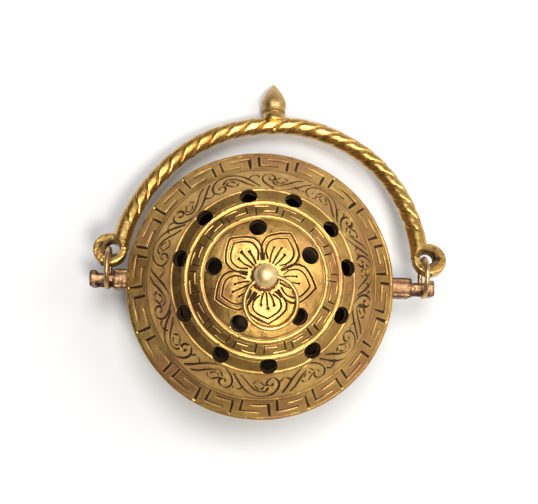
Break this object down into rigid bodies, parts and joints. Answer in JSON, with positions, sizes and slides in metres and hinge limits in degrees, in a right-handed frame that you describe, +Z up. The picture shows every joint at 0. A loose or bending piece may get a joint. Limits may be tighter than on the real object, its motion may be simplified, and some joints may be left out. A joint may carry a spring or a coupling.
{
  "type": "thurible censer",
  "caption": "Round brass hand censer: pierced stepped dome lid with knob and pull ring, over a footed bowl, on a rope-twist bail handle.",
  "frame": {"origin": "centre of the foot's bottom plane", "axes": "+Z up through the bowl, X through the two lugs, and the bail lies back towards +Y at rest"},
  "size_m": [0.1338, 0.1345, 0.0735],
  "materials": {
    "lid_brass": "aged cast brass with dark brown in the engraving and worn bright edges",
    "bowl_brass": "aged brass, duller than the lid",
    "cup_brass": "sooted, heat-browned brass",
    "lug_brass": "copper-brown cast brass, worn where the links rub",
    "link_wire": "drawn wire, browned",
    "bail_brass": "polished by handling, brown in the grooves",
    "finial_brass": "satin brass",
    "knob_brass": "bright worn brass",
    "collar_copper": "copper-brown"
  },
  "bodies": {
    "censer_bowl": {"bowl": "bowl_brass", "foot_ring": "bowl_brass", "ember_cup": "cup_brass", "left_lug": "lug_brass", "right_lug": "lug_brass", "left_lug_rivets": "lug_brass", "right_lug_rivets": "lug_brass"},
    "right_link": {"right_link": "link_wire"},
    "left_link": {"left_link": "link_wire"},
    "bail": {"bail": "bail_brass", "finial": "finial_brass", "finial_collar": "bail_brass", "finial_tenon": "bail_brass"},
    "lid": {"lid": "lid_brass", "lid_skirt": "bowl_brass", "knob": "knob_brass", "knob_collar": "collar_copper", "knob_washer": "bowl_brass", "knob_nut": "bowl_brass"},
    "pull_ring": {"pull_ring": "knob_brass"}
  },
  "joints": [
    {"name": "right_link_swing", "type": "hinge", "parent": "censer_bowl", "child": "right_link", "pos_m": [0.0609, 0, 0.025], "axis": [1, 0, 0], "range_deg": [0, 110]},
    {"name": "left_link_swing", "type": "hinge", "parent": "censer_bowl", "child": "left_link", "pos_m": [-0.0583, 0, 0.025], "axis": [1, 0, 0], "range_deg": [0, 110]},
    {"name": "bail_swing", "type": "hinge", "parent": "right_link", "child": "bail", "pos_m": [0.0609, 0.00389, 0.02772], "axis": [1, 0, 0], "range_deg": [0, 105.6]},
    {"name": "lid_lift", "type": "slide", "parent": "censer_bowl", "child": "lid", "axis": [0, 0, 1], "range_m": [0, 0.06]},
    {"name": "pull_ring_swing", "type": "hinge", "parent": "lid", "child": "pull_ring", "pos_m": [-0.0012, -0.001, 0.0642], "axis": [-0.9659, -0.2588, 0], "range_deg": [0, 205]}
  ],
  "couplings": [
    {"joint": "left_link_swing", "follows": "right_link_swing", "ratio": 1},
    {"joint": "bail_swing", "follows": "right_link_swing", "ratio": 0.959}
  ]
}
